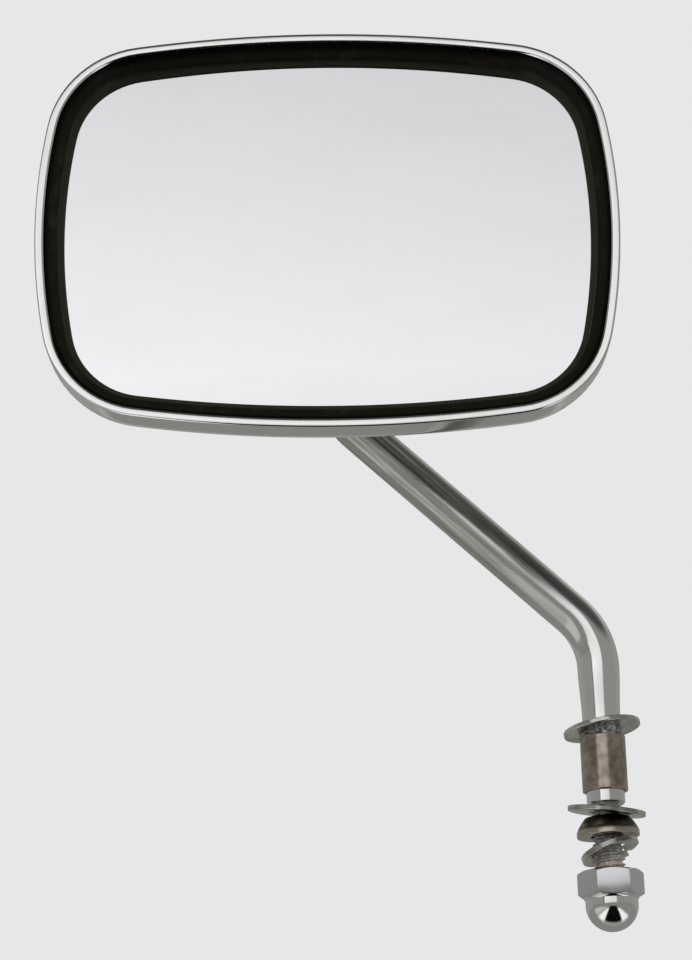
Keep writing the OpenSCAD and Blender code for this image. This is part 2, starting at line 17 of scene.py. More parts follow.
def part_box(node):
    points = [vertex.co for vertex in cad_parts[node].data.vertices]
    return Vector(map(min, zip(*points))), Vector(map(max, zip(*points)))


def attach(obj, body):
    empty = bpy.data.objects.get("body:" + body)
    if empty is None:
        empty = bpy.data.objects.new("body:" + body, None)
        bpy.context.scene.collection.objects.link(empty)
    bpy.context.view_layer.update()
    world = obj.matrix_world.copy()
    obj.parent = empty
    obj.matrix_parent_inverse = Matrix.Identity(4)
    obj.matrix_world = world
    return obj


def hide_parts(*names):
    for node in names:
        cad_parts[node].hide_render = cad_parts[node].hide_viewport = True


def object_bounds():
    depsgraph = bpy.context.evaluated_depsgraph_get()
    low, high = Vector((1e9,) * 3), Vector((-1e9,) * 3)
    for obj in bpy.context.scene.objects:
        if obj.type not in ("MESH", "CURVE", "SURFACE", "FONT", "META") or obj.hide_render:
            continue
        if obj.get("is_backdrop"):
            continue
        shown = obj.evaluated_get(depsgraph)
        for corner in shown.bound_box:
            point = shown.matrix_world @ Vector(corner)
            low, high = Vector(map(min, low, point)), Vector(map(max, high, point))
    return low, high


MM = 0.001


def in_mm(vector):
    """A vector's parts in millimetres, rounded for printing."""
    return [round(part / MM, 2) for part in vector]


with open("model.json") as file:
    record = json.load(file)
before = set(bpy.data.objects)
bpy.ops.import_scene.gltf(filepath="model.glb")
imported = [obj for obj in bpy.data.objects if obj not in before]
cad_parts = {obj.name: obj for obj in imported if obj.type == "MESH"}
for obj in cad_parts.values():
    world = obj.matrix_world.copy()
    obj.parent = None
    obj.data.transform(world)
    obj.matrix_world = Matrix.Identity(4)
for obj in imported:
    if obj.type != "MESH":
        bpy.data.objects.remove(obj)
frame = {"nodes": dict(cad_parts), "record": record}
cad_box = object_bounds()
print("CAD nodes:", len(frame["nodes"]), "box in mm:", in_mm(cad_box[1] - cad_box[0]))

# %% [markdown]
# ## The camera
#
# The photograph was taken from a little below. The camera could be nudged by eye until the picture
# fits, but the object itself tells more: the ellipses of the washers gave the elevation, the way the
# head narrows towards its top gave the distance, and the head's width the focal length. A camera's
# matrix holds its right, up and backward directions as columns, so we build those.

# %% Camera
ELEVATION = math.radians(16.588)
ROLL = math.radians(1.954)
DISTANCE = 745.1 * MM
TARGET = Vector((-61.635, -20, 80.2)) * MM
FOCAL_PX = 2996
PHOTO_H = 960
# The picture is upright, so the sensor's width lies along its height.
SENSOR = 36

ahead = Vector((0, math.cos(ELEVATION), math.sin(ELEVATION)))
above = Vector((0, -math.sin(ELEVATION), math.cos(ELEVATION)))
across = Vector((1, 0, 0))
right = math.cos(ROLL) * across - math.sin(ROLL) * above
up = math.sin(ROLL) * across + math.cos(ROLL) * above

bpy.ops.object.camera_add()
camera = bpy.context.object
camera.name = "photo_camera"
camera.data.sensor_width = SENSOR
camera.data.lens = FOCAL_PX * SENSOR / PHOTO_H
camera.matrix_world = Matrix.Translation(TARGET - DISTANCE * ahead) @ Matrix(
    (right, up, -ahead)
).transposed().to_4x4()
bpy.context.scene.camera = camera
print("camera lens", round(camera.data.lens, 2), "at", in_mm(camera.matrix_world.translation))

# %% [markdown]
# ## Node maths
#
# A finish is a network of nodes. It could be wired by hand in the shader editor, but a written sum
# is easier to read than a screen of links. So a small class wraps a socket: arithmetic on it adds
# Math nodes, and one method adds any other node.


# %% A socket that can be used in expressions
class Shade:
    """One output of a node tree. Arithmetic on it adds Math nodes."""

    def __init__(self, tree, socket=None):
        self.tree = tree
        self.socket = socket

    def node(self, kind, inputs=(), out=0, **settings):
        """Adds a node, sets it up, feeds its sockets and hands back one of its outputs."""
        new = self.tree.nodes.new("ShaderNode" + kind)
        for key, value in settings.items():
            setattr(new, key, value)
        for key, value in dict(inputs).items():
            if isinstance(value, Shade):
                self.tree.links.new(value.socket, new.inputs[key])
            else:
                new.inputs[key].default_value = value
        return Shade(self.tree, new.outputs[out]) if new.outputs else None

    def maths(self, operation, *others):
        """A Math node on this and on any other values."""
        return self.node("Math", enumerate((self, *others)), operation=operation)

    def __add__(self, other):
        return self.maths("ADD", other)

    def __sub__(self, other):
        return self.maths("SUBTRACT", other)

    def __rsub__(self, other):
        return self.node("Math", {0: other, 1: self}, operation="SUBTRACT")

    def __mul__(self, other):
        return self.maths("MULTIPLY", other)

    def __truediv__(self, other):
        return self.maths("DIVIDE", other)

    __radd__ = __add__
    __rmul__ = __mul__

    def step(self, low, high):
        """0 where this is under low, 1 where it is over high, smooth between."""
        values = {"Value": self, "From Min": low, "From Max": high}
        return self.node("MapRange", values, interpolation_type="SMOOTHSTEP")

    def band(self, rise, fall):
        """1 between two soft edges, where each edge is a pair: its start and its end."""
        return self.step(*rise) * (1 - self.step(*fall))

    def mix(self, dark, light):
        """A colour between two, by this as the factor. Sockets 6 and 7 hold the two colours."""
        pair = {0: self}
        for place, colour in ((6, dark), (7, light)):
            pair[place] = colour if isinstance(colour, Shade) else (*colour, 1)
        return self.node("Mix", pair, out=2, data_type="RGBA")

    def noise(self, scale, detail=3, rough=0.5):
        """Noise over this as its coordinates, from 0 to 1."""
        values = {"Vector": self, "Scale": scale, "Detail": detail, "Roughness": rough}
        return self.node("TexNoise", values)

    def axis(self, k):
        """One of the three parts of these coordinates."""
        return self.node("SeparateXYZ", {0: self}, out=k)

    def stretch(self, scale):
        """These coordinates, stretched by a factor along each axis."""
        return self.node("Mapping", {"Vector": self, "Scale": scale})


# %% [markdown]
# ## The studio
#
# Chrome and glass are only as good as what they reflect. The front of the rod and of the nut show
# one bright panel behind the camera under a dark ceiling, and that same panel fills the whole glass.
# A picture of a room could be wrapped round the object, but plain surfaces are easier to set and
# look right from any side. So there is a panel with soft edges, a pale floor well under the object,
# and a world of plain walls. The camera sees pale paper everywhere. The polished pieces see the
# floor glow in other tones, a painted reflection: a black strip of painted shadow towards the
# camera, painted light in white beside it and in a paler patch on the left, grey beyond. A Light
# Path node tells the two apart.

# %% Places in the studio
CENTRE = Vector((-62, -20, 92)) * MM
FLOOR_SIZE, FLOOR_Z = 9, -0.26
PANEL_SIZE = (2.45, 1.12)
PANEL_DISTANCE, PANEL_OFF = 2.0, -0.47
PANEL_ELEVATION = math.radians(16)
BACKDROP = (0.8, 0.8, 0.81)
# Every material that is made here, by its slot's name.
MADE = {}


def plain_material(name):
    """A new empty material, and a Shade to build in it. The frame has the plain names already."""
    material = bpy.data.materials.new(name + "_finish")
    material.use_nodes = True
    material.node_tree.nodes.clear()
    MADE[name] = material
    return material, Shade(material.node_tree)


def add_plane(name, size, place=(0, 0, 0)):
    """Adds a plane and leaves it alone selected."""
    bpy.ops.object.select_all(action="DESELECT")
    bpy.ops.mesh.primitive_plane_add(size=size, location=place)
    plane = bpy.context.object
    plane.name = plane.data.name = name
    return plane


# %% Floor, as the polished pieces see it, with painted shadow and painted light
floor = add_plane("floor", FLOOR_SIZE, (CENTRE.x, 0, FLOOR_Z))
paper, net = plain_material("floor_paper")
place = net.node("TexCoord", out="Object")
sideways, forward = place.axis(0), place.axis(1)
off_rod = (sideways + CENTRE.x).maths("ABSOLUTE")
under_rod = (-0.05, 0.08)
# Painted light: lit patches beside the strip and on the left. Painted shadow: a dark strip towards the
# camera. Both show only in reflections.
painted_lit_floor = forward.band((-0.75, -0.5), under_rod) * (1 - off_rod.step(0.25, 0.42))
painted_shade = forward.band((-1.6, -1.2), under_rod) * (1 - (off_rod + 0.14 * forward).step(0.115, 0.15))
painted_light_left = forward.band((-1.1, -0.8), under_rod) * sideways.band((-1.6, -1.0), (-0.42, -0.3))
reflected = forward.step(2.2, 3.4).mix((0.235, 0.235, 0.222), (0.4, 0.4, 0.39))
reflected = painted_light_left.mix(reflected, (0.5, 0.5, 0.47))
reflected = painted_lit_floor.mix(reflected, (0.95, 0.95, 0.95))
reflected = painted_shade.mix(reflected, (0.003, 0.003, 0.003))
print("floor", FLOOR_SIZE, "m wide at", FLOOR_Z, "m")

# %% Floor, as the camera sees it
tone = place.noise(1.5, 2).mix((0.56, 0.56, 0.565), (0.6, 0.6, 0.605))
matt = net.node("BsdfDiffuse", {"Color": tone})
in_chrome = net.node("Emission", {"Color": reflected, "Strength": 1.0})
glossy_ray = net.node("LightPath", out="Is Glossy Ray")
near_floor = net.node("MixShader", {0: glossy_ray, 1: matt, 2: in_chrome})
away = net.node("VectorMath", {0: place}, out="Value", operation="LENGTH")
far_off = away.step(0.7, 1.7) * net.node("LightPath", out="Is Camera Ray")
far_floor = net.node("Emission", {"Color": (*BACKDROP, 1), "Strength": 1.0})
whole_floor = net.node("MixShader", {0: far_off, 1: near_floor, 2: far_floor})
net.node("OutputMaterial", {"Surface": whole_floor})
# Its glow is only for reflections, so it isn't sampled as a lamp.
paper.cycles.emission_sampling = "NONE"
floor.data.materials.append(paper)
floor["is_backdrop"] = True
print("floor paper of", len(paper.node_tree.nodes), "nodes")

# %% Panel
panel = add_plane("light_panel", 1)
towards_panel = Vector((0, -math.cos(PANEL_ELEVATION), math.sin(PANEL_ELEVATION)))
panel.matrix_world = (
    Matrix.Translation(CENTRE + PANEL_DISTANCE * towards_panel + Vector((PANEL_OFF, 0, 0)))
    @ (-towards_panel).to_track_quat("Z", "Y").to_matrix().to_4x4()
    @ Matrix.Diagonal((*PANEL_SIZE, 1, 1))
)
cloth, net = plain_material("panel_cloth")
place = net.node("TexCoord", out="Object")
# The panel faces the object, so its own x runs against the world's.
across_panel, up_panel = 0 - place.axis(0), place.axis(1)
soft_left = across_panel.step(-0.5, -0.3)
soft_right = 1 - 0.5 * across_panel.step(0.43, 0.5)
fade = soft_left * soft_right * (1 - 0.25 * across_panel)
lit = (1 - 0.5 * up_panel.maths("ABSOLUTE")) * fade
BRIGHTEST = 1.1
cloth_tone = (lit / BRIGHTEST).mix((0, 0, 0), (1, 0.985, 1))
glow = net.node("Emission", {"Color": cloth_tone, "Strength": BRIGHTEST})
net.node("OutputMaterial", {"Surface": glow})
panel.data.materials.append(cloth)
panel.visible_camera = False
panel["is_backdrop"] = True
print("panel at", in_mm(panel.matrix_world.translation))

# %% World
world = bpy.data.worlds.new("studio")
bpy.context.scene.world = world
world.use_nodes = True
world.node_tree.nodes.clear()
net = Shade(world.node_tree)
direction = net.node("TexCoord", out="Generated")
depth, height = direction.axis(1), direction.axis(2)
behind = depth.step(-0.1, 0.5)
walls = 0.27 + 0.03 * behind
dark_ceiling = 0.78 * height.step(0.42, 0.6) * (1 - 0.8 * behind)
dark_foot = 0.2 * (1 - height.step(0.02, 0.07)) * (1 - behind)
skylight = 0.35 * depth.step(0.35, 0.65) * height.step(0.44, 0.56)
room = walls * (1 - dark_ceiling) * (1 - dark_foot) + skylight
mirrored = net.node("Background", {"Color": room.mix((0, 0, 0), (1, 0.985, 0.94)), "Strength": 1.0})
seen = net.node("Background", {"Color": (*BACKDROP, 1), "Strength": 1.0})
camera_ray = net.node("LightPath", out="Is Camera Ray")
net.node("OutputWorld", {"Surface": net.node("MixShader", {0: camera_ray, 1: mirrored, 2: seen})})
bpy.context.scene.view_settings.view_transform = "Standard"
print("world of", len(world.node_tree.nodes), "nodes")

# %% Lamps
LAMP_SIDE = 1.2


def softbox(name, place, power):
    """A square lamp that looks at the mirror and isn't itself seen in the chrome."""
    bpy.ops.object.light_add(type="AREA", location=place)
    lamp = bpy.context.object
    lamp.name = name
    lamp.data.size = LAMP_SIDE
    lamp.data.energy = power
    lamp.rotation_euler = (CENTRE - lamp.location).to_track_quat("-Z", "Y").to_euler()
    lamp.visible_glossy = False
    print(name, power, "W")


softbox("key_lamp", (-0.9, -1.2, 1.3), 36)
softbox("fill_lamp", (1.1, -1.0, 0.9), 20)
softbox("back_lamp", (0.3, 1.4, 1.3), 24)

# %% [markdown]
# ## Finishes
#
# Every finish starts from a Principled shader. A picture of real chrome or rubber could be wrapped
# round each piece, but a pattern made by nodes has no seams and stays sharp up close. What changes
# over the surface goes to its colour, roughness, metallic and normal. All patterns read Object
# coordinates, which are metres here, so a noise scale of 1000 gives spots a millimetre wide.


# %% Finish helpers
def begin(name):
    """Starts a material and hands back its Object coordinates."""
    return plain_material(name)[1].node("TexCoord", out="Object")


def finish(name, colour, roughness, metallic=0.0, bump=None, microns=0, **fixed):
    """Closes a material. Its values may be numbers or Shades, and its bump is so many microns high."""
    tree = Shade(MADE[name].node_tree)
    values = {"Base Color": colour if isinstance(colour, Shade) else (*colour, 1)}
    values["Roughness"] = roughness
    values["Metallic"] = metallic
    if bump is not None:
        heights = {"Strength": 1.0, "Distance": microns * 1e-6, "Height": bump}
        values["Normal"] = tree.node("Bump", heights)
    for key, value in fixed.items():
        values[key.replace("_", " ")] = value
    tree.node("OutputMaterial", {"Surface": tree.node("BsdfPrincipled", values)})
    print("finish:", name)


# %% [markdown]
# ### Bright chrome
#
# Chrome plate is nearly a perfect mirror, and a plain mirror grey would look brand new. What makes
# it real is faint: a slow change of polish, a few fine hairlines from wiping, and tiny specks where
# the plate has dulled. A long thin noise makes the hairlines, and cells with a sharp threshold make
# the specks. The dish, the socket, the rod and the nut share this finish.

# %% Chrome, its polish
spot = begin("chrome_plate")
haze = spot.noise(45, 4, 0.55).step(0.42, 0.72)
hairs = spot.stretch((300, 4000, 300)).noise(1, 2)
specks = 1 - spot.node("TexVoronoi", {"Vector": spot, "Scale": 520.0}).step(0.05, 0.11)
dull = specks * spot.noise(70, 2).step(0.6, 0.7)
plate = (haze * 0.5 + dull * 0.5).mix((0.9, 0.9, 0.89), (0.78, 0.78, 0.755))
print("polish of", len(spot.tree.nodes), "nodes")

# %% [markdown]
# The front of the sloping rod is worn in long streaks, and a dark band over its middle is a painted
# reflection, where a plain rod shows its highlight. The streaks could be painted on, but the rod is
# straight there, so noise on coordinates that run along and across it gives them. All pieces share
# one frame, so a place in millimetres picks the slope.

# %% Chrome, worn on the slope of the rod, with a painted dark reflection
ROD_R = 5.25
SLOPE = math.radians(44)
BEND_Z = 42.95
x, y, z = (spot.axis(k) / MM for k in range(3))
along_rod = math.sin(SLOPE) * z - math.cos(SLOPE) * x
beside_rod = math.sin(SLOPE) * x + math.cos(SLOPE) * z
streaks = spot.node("CombineXYZ", {0: 0.045 * along_rod, 1: 1.1 * beside_rod, 2: 1.1 * y})
streaks = streaks.noise(1, 4, 0.6).step(0.32, 0.68)
worn = y.step(-9, -7) * z.band((46, 62), (97, 109))
over_middle = (beside_rod - BEND_Z * math.cos(SLOPE)) / ROD_R
# Painted reflection: a dark band over the middle of the rod's front, where its highlight would be.
painted_dark_reflection = worn * over_middle.band((-0.14, 0.04), (0.3, 0.6)) * (1 - y.step(-2, 1))
plate = (worn * (0.2 + 0.8 * streaks)).mix(plate, (0.46, 0.455, 0.42))
plate = (painted_dark_reflection * (0.55 + 0.3 * streaks)).mix(plate, (0.1, 0.098, 0.09))
print("with the worn slope", len(spot.tree.nodes), "nodes")

# %% [markdown]
# The nut's flats are satin, where a spanner and the weather have been. Painted shade darkens the
# shank under the top washer, and dirt sits in the thread, with a little rust just over the nut. These
# need no pieces of their own: a height and a distance from the stud's axis pick each place, and a
# blotchy noise breaks it up.

# %% Chrome, satin on the nut, painted shade under the washer, dirt and rust
off_axis = (x * x + y * y).maths("SQRT")
smudge = spot.stretch((800, 800, 1500)).noise(1, 4, 0.6).step(0.35, 0.62)
satin = z.band((-23.1, -22.8), (-16.6, -16.3))
# Painted shade: the shank darkens in the gap under the top washer. The thread's dirt and rust are its own
# colour.
painted_shade_under_washer = z.band((16.6, 17.3), (20.5, 21.5)) * (1 - off_axis.step(5.7, 6.1))
in_thread = z.band((-17.5, -17.2), (-0.4, 0)) * (1 - off_axis.step(4.1, 4.4))
thread_dirt_and_washer_shade = painted_shade_under_washer * (0.45 + 0.5 * smudge) + in_thread * (0.35 + 0.45 * smudge)
rust = in_thread * (1 - z.step(-14.6, -12.8))
dirt_and_shade_tone = rust.mix((0.045, 0.042, 0.034), (0.24, 0.12, 0.085))
polish = 0.075 + 0.06 * haze + 0.25 * dull + 0.03 * hairs
finish(
    "chrome_plate",
    thread_dirt_and_washer_shade.mix(satin.mix(plate, (0.74, 0.755, 0.76)), dirt_and_shade_tone),
    polish + worn * (0.13 + 0.16 * streaks) + 0.1 * satin + 0.35 * thread_dirt_and_washer_shade,
    metallic=1 - 0.8 * thread_dirt_and_washer_shade,
    bump=hairs * 0.3 - dull * 0.6 + 1.5 * worn * streaks,
    microns=1.5,
)

# %% [markdown]
# ### Black rubber
#
# The gasket is moulded rubber: nearly black and satin, with a fine grain and a trace of dust. One
# even black would hide its steps, so shade is painted into its tone. In the photograph its outer
# roll is the blackest and the lip on the glass the lightest, so the tone follows the depth behind
# the rim: painted shade by the rim, and a painted highlight on the lip.

# %% Rubber, with painted shade by the rim and a painted highlight on the lip
spot = begin("black_rubber")
grain = spot.noise(2600, 3, 0.6)
dust = spot.noise(140, 5, 0.65).step(0.5, 0.8)
behind_rim = (spot.axis(1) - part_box("shell")[0].y) / MM
past_roll = behind_rim.step(1.2, 2.5)
# Painted shade: the tone is darkest by the rim and lightest on the lip over the glass, a painted highlight.
painted_shade = past_roll.mix((0.0008, 0.0008, 0.0005), (0.0045, 0.0042, 0.0026))
painted_shade = behind_rim.step(3.2, 4.1).mix(painted_shade, (0.014, 0.013, 0.0095))
finish(
    "black_rubber",
    (dust * past_roll).mix(painted_shade, (0.012, 0.011, 0.008)),
    0.22 + 0.1 * grain + 0.12 * dust,
    bump=grain,
    microns=30,
    Specular_IOR_Level=0.1,
)

# %% [markdown]
# ### Silvered glass
#
# The glass is silvered behind. It could be a clear sheet over a mirror, but the clear part would
# hardly show, so one polished metal stands for both. A faint film of smears and a few motes of dust
# show that there is a surface at all.

# %% Silvered glass
spot = begin("silvered_glass")
smears = spot.stretch((1, 1, 2.2)).noise(26, 4, 0.6).step(0.45, 0.8)
motes = 1 - spot.node("TexVoronoi", {"Vector": spot, "Scale": 900.0}).step(0.03, 0.08)
motes = motes * spot.noise(160, 2).step(0.62, 0.7)
finish(
    "silvered_glass",
    (smears * 0.4 + motes * 0.4).mix((0.9, 0.893, 0.902), (0.84, 0.835, 0.84)),
    0.012 + 0.03 * smears + 0.2 * motes,
    metallic=1.0,
)

# %% [markdown]
# ### Plated, oiled and brown steel
#
# The loose hardware is plain steel: zinc plated washers, a brown sleeve and a darker tapered spacer,
# with oiled pieces inside the head. One metal could serve them all, but they differ in colour and
# polish. A cloudy noise varies each tone, and a noise stretched round or along a piece leaves the
# marks of its tool.

# %% Zinc plate
spot = begin("zinc_plate")
cloud = spot.noise(210, 4, 0.6)
scores = spot.stretch((900, 900, 5200)).noise(1, 3)
finish(
    "zinc_plate",
    cloud.step(0.3, 0.7).mix((0.38, 0.375, 0.345), (0.8, 0.8, 0.76)),
    0.14 + 0.14 * cloud + 0.08 * scores,
    metallic=1.0,
    bump=scores * 0.5 + cloud * 0.5,
    microns=4,
)

# %% Oiled steel
spot = begin("bare_steel")
oil = spot.noise(180, 4, 0.6)
finish(
    "bare_steel",
    oil.mix((0.3, 0.29, 0.28), (0.48, 0.48, 0.48)),
    0.28 + 0.18 * oil,
    metallic=1.0,
    bump=spot.noise(2400, 2),
    microns=8,
)

spot = begin("spring_steel")
blue = spot.noise(240, 3)
finish("spring_steel", blue.mix((0.12, 0.12, 0.14), (0.24, 0.24, 0.27)), 0.3 + 0.15 * blue, metallic=1.0)

# %% Brown steel
spot = begin("brown_steel")
stain = spot.noise(330, 5, 0.6)
drag = spot.stretch((2400, 2400, 250)).noise(1, 2)
finish(
    "brown_steel",
    stain.step(0.25, 0.75).mix((0.26, 0.213, 0.165), (0.58, 0.5, 0.43)),
    0.17 + 0.1 * stain,
    metallic=1.0,
    bump=drag * 0.6 + stain * 0.4,
    microns=3,
)

# %% [markdown]
# The tapered spacer has painted shade over its slope, darkest towards the top under the washer, and
# a painted highlight round its rim. Two materials could share it, but then the change of tone would
# end at a hard line. So one tone follows the height over its foot, which the frame gives, and fades
# from the rim to the slope.

# %% Dark steel with painted shade on the slope and a painted highlight on the rim
spot = begin("dark_steel")
stain = spot.noise(300, 5, 0.6)
over_foot = (spot.axis(2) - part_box("cone_spacer")[0].z) / MM
# Painted shade darkens the slope towards the top under the washer, and a painted highlight lies round the
# rim.
painted_shade_slope = over_foot.step(2.2, 4.2).mix((0.17, 0.13, 0.1), (0.035, 0.028, 0.022))
painted_highlight_rim = stain.mix((0.42, 0.36, 0.3), (0.62, 0.55, 0.47))
finish(
    "dark_steel",
    (1 - over_foot.step(1.3, 1.9)).mix(painted_shade_slope, painted_highlight_rim),
    0.2 + 0.14 * stain,
    metallic=1.0,
    bump=stain,
    microns=4,
)

# %% [markdown]
# ### Nylon and foam
#
# The ball turns in white nylon, and the glass lies on grey foam. Both are nearly hidden and could be
# one flat colour, but the joint shows some nylon when the head is turned. It gets a faint pattern of
# flow, and the foam gets pores from the cells of a Voronoi texture.

# %% Nylon and foam
spot = begin("white_nylon")
flow = spot.noise(600, 3)
finish(
    "white_nylon",
    flow.mix((0.7, 0.68, 0.6), (0.8, 0.78, 0.71)),
    0.38 + 0.1 * flow,
    bump=spot.noise(3000, 2),
    microns=10,
)

spot = begin("grey_foam")
pores = spot.node("TexVoronoi", {"Vector": spot, "Scale": 1500.0})
finish("grey_foam", pores.mix((0.03, 0.03, 0.03), (0.16, 0.16, 0.16)), 0.9, bump=pores, microns=300)

# %% [markdown]
# ## Dressing the pieces that keep their CAD shape
#
# The strap, screws, cup and spring sit inside the closed head. They could be drawn again, but their
# CAD shapes are right and nobody sees them closely, so they only get their finish and smooth shading.

# %% Dress the CAD nodes
slot_of = {piece["node"]: piece["material_slot"] for piece in frame["record"]["subparts"]}


def pick(piece):
    """Selects one object alone, so that the next operator acts on it."""
    bpy.ops.object.select_all(action="DESELECT")
    piece.select_set(True)
    bpy.context.view_layer.objects.active = piece


for name, node in frame["nodes"].items():
    node.data.materials.clear()
    node.data.materials.append(MADE[slot_of[name]])
    pick(node)
    bpy.ops.object.shade_smooth_by_angle(angle=math.radians(30))
print("dressed", len(frame["nodes"]), "CAD nodes")

# %% [markdown]
# ## Helpers for modelling by hand
#
# Almost everything here is drawn out from a ring of edges. Ready solids could be joined by Boolean
# modifiers, but their meshes come out ragged. So a circle is added, and its ring is extruded, moved
# and scaled again and again, as one would with the E and S keys. Each vertex carries its number
# round the ring, so that a ring can also be laid on any other outline.


# %% Ring helpers
def start_ring(name, count, radius=1.0, at=(0, 0, 0)):
    """Adds a circle and leaves it selected in edit mode, with its vertices numbered."""
    bpy.ops.object.select_all(action="DESELECT")
    bpy.ops.mesh.primitive_circle_add(vertices=count, radius=radius, location=at)
    piece = bpy.context.object
    piece.name = piece.data.name = name
    bpy.ops.object.transform_apply(location=True, rotation=True, scale=True)
    bpy.ops.object.mode_set(mode="EDIT")
    bpy.ops.mesh.select_mode(type="EDGE")
    bpy.ops.mesh.select_all(action="SELECT")
    mesh = bmesh.from_edit_mesh(piece.data)
    number = mesh.verts.layers.int.new("number")
    for k, vert in enumerate(mesh.verts):
        vert[number] = k
    bmesh.update_edit_mesh(piece.data)
    return piece


def lay_ring(piece, ring):
    """Moves the selected vertices onto the points of a ring, by their numbers."""
    mesh = bmesh.from_edit_mesh(piece.data)
    number = mesh.verts.layers.int["number"]
    for vert in mesh.verts:
        if vert.select:
            vert.co = ring[vert[number]]
    bmesh.update_edit_mesh(piece.data)


def draw_rings(piece, rings):
    """Lays the first ring, then extrudes a new one onto each of the others."""
    lay_ring(piece, rings[0])
    for ring in rings[1:]:
        bpy.ops.mesh.extrude_region_move()
        lay_ring(piece, ring)


# %% Finishing helpers
def settle(piece, placed, angle):
    """Moves a piece to its place, keeps the place in its mesh and smooths its gentle edges."""
    piece.matrix_world = placed
    bpy.ops.object.transform_apply(location=True, rotation=True, scale=True)
    bpy.ops.object.shade_smooth_by_angle(angle=math.radians(angle))


def finish_mesh(piece, placed=Matrix.Identity(4), angle=35):
    """Merges doubles, closes the ends, turns the faces outwards and places the piece."""
    bpy.ops.mesh.select_all(action="SELECT")
    bpy.ops.mesh.remove_doubles(threshold=1e-7)
    bpy.ops.mesh.fill_holes(sides=0)
    bpy.ops.mesh.select_all(action="SELECT")
    bpy.ops.mesh.normals_make_consistent(inside=False)
    bpy.ops.object.mode_set(mode="OBJECT")
    if "number" in piece.data.attributes:
        piece.data.attributes.remove(piece.data.attributes["number"])
    settle(piece, placed, angle)


def apply_modifier(piece, kind, **settings):
    """Adds a modifier, sets it up and applies it."""
    modifier = piece.modifiers.new(kind.lower(), kind)
    for key, value in settings.items():
        setattr(modifier, key, value)
    bpy.ops.object.modifier_apply(modifier=modifier.name)


def break_edges(piece, width, sharp=40):
    """Rounds every edge that turns by more than an angle, as a file would."""
    limit = math.radians(sharp)
    apply_modifier(piece, "BEVEL", width=width * MM, segments=3, limit_method="ANGLE", angle_limit=limit)


# %% Hand-over
def hand_over(piece, body, node):
    """Gives a finished piece its finish and its place in the frame, and checks its mesh."""
    piece.data.materials.clear()
    piece.data.materials.append(MADE[slot_of[node]])
    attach(piece, body)
    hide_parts(node)
    check = bmesh.new()
    check.from_mesh(piece.data)
    volume = check.calc_volume(signed=True) / MM**3
    open_edges = sum(1 for edge in check.edges if not edge.is_manifold)
    print(f"{piece.name}: {len(check.faces)} faces, {volume:.0f} mm3, {open_edges} open edges")
    check.free()


# %% [markdown]
# ## The head's outline
#
# The head is neither a rectangle nor an ellipse. Each edge is a shallow bow, and a tighter arc joins
# two bows so that they meet without a kink. It could be traced point by point, but arcs stay smooth,
# and a ring moved inwards keeps the same three centres with smaller radii. So one function gives the
# rim, the gasket and the glass.

# %% The centres of the three arcs
HEAD_W, HEAD_H = 143.5 * MM, 103 * MM
TOP_BOW, SIDE_BOW, CORNER = 348 * MM, 148 * MM, 25.7 * MM

top_centre = Vector((0, HEAD_H / 2 - TOP_BOW))
side_centre = Vector((HEAD_W / 2 - SIDE_BOW, 0))
to_side = side_centre - top_centre
along = ((TOP_BOW - CORNER) ** 2 - (SIDE_BOW - CORNER) ** 2 + to_side.length_squared) / (2 * to_side.length)
off = math.sqrt((TOP_BOW - CORNER) ** 2 - along**2)
unit = to_side.normalized()
corner_centre = top_centre + along * unit + off * Vector((unit.y, -unit.x))
side_end = math.atan2(*reversed(corner_centre - side_centre))
top_start = math.atan2(*reversed(corner_centre - top_centre))
print("corner centre", in_mm(corner_centre))

# %% Outline
SIDE_STEPS, CORNER_STEPS, TOP_STEPS = 10, 14, 14


def arc(centre, radius, start, stop, steps):
    """Points after the first along an arc."""
    angles = [start + (stop - start) * k / steps for k in range(1, steps + 1)]
    return [centre + radius * Vector((math.cos(a), math.sin(a))) for a in angles]


def outline(inset):
    """The head's outline, moved inwards, as flat points."""
    quarter = [Vector((HEAD_W / 2 - inset, 0))]
    quarter += arc(side_centre, SIDE_BOW - inset, 0, side_end, SIDE_STEPS)
    quarter += arc(corner_centre, CORNER - inset, side_end, top_start, CORNER_STEPS)
    quarter += arc(top_centre, TOP_BOW - inset, top_start, math.pi / 2, TOP_STEPS)
    ring = quarter + [Vector((-p.x, p.y)) for p in quarter[-2::-1]]
    ring += [Vector((-p.x, -p.y)) for p in quarter[1:]]
    return ring + [Vector((p.x, -p.y)) for p in quarter[-2:0:-1]]


AROUND = len(outline(0))
print("outline of", AROUND, "points")

# %% Rings on the outline, and the place of the head
GLASS_BOW = 1400 * MM
REACH, BALL_FORWARD, BALL_Z = 64.15, 25, 136.5
BALL_DEPTH = 24 * MM
LEAN = math.radians(1.6)
BALL = Vector((-REACH, -BALL_FORWARD, BALL_Z)) * MM
IN_SOCKET = (
    Matrix.Translation(BALL) @ Matrix.Rotation(LEAN, 4, "Y") @ Matrix.Rotation(-math.pi / 2, 4, "X")
)
IN_HEAD = IN_SOCKET @ Matrix.Translation((0, 0, -BALL_DEPTH))
print("ball at", in_mm(BALL), "rim's centre at", in_mm(IN_HEAD.translation))


def ring_at(inset, depth, follow=0.0, inward=1.0):
    """The outline at a depth behind the rim, following the bow of the glass by a share."""
    ring = []
    for p in outline(inset):
        sag = inward**2 * p.length_squared / (2 * GLASS_BOW)
        ring.append(Vector((inward * p.x, inward * p.y, depth + follow * sag)))
    return ring


# %% [markdown]
# ## The chromed dish
#
# The shell is pressed from one sheet: a flat rolled rim, a short side wall, a soft fillet and a
# domed back that runs out to a flat land round the ball joint. It could be a squashed sphere, but
# then the rim would not be even. Drawing it out ring by ring from the rolled edge, over the back and
# back along the inside keeps the sheet's thickness everywhere.

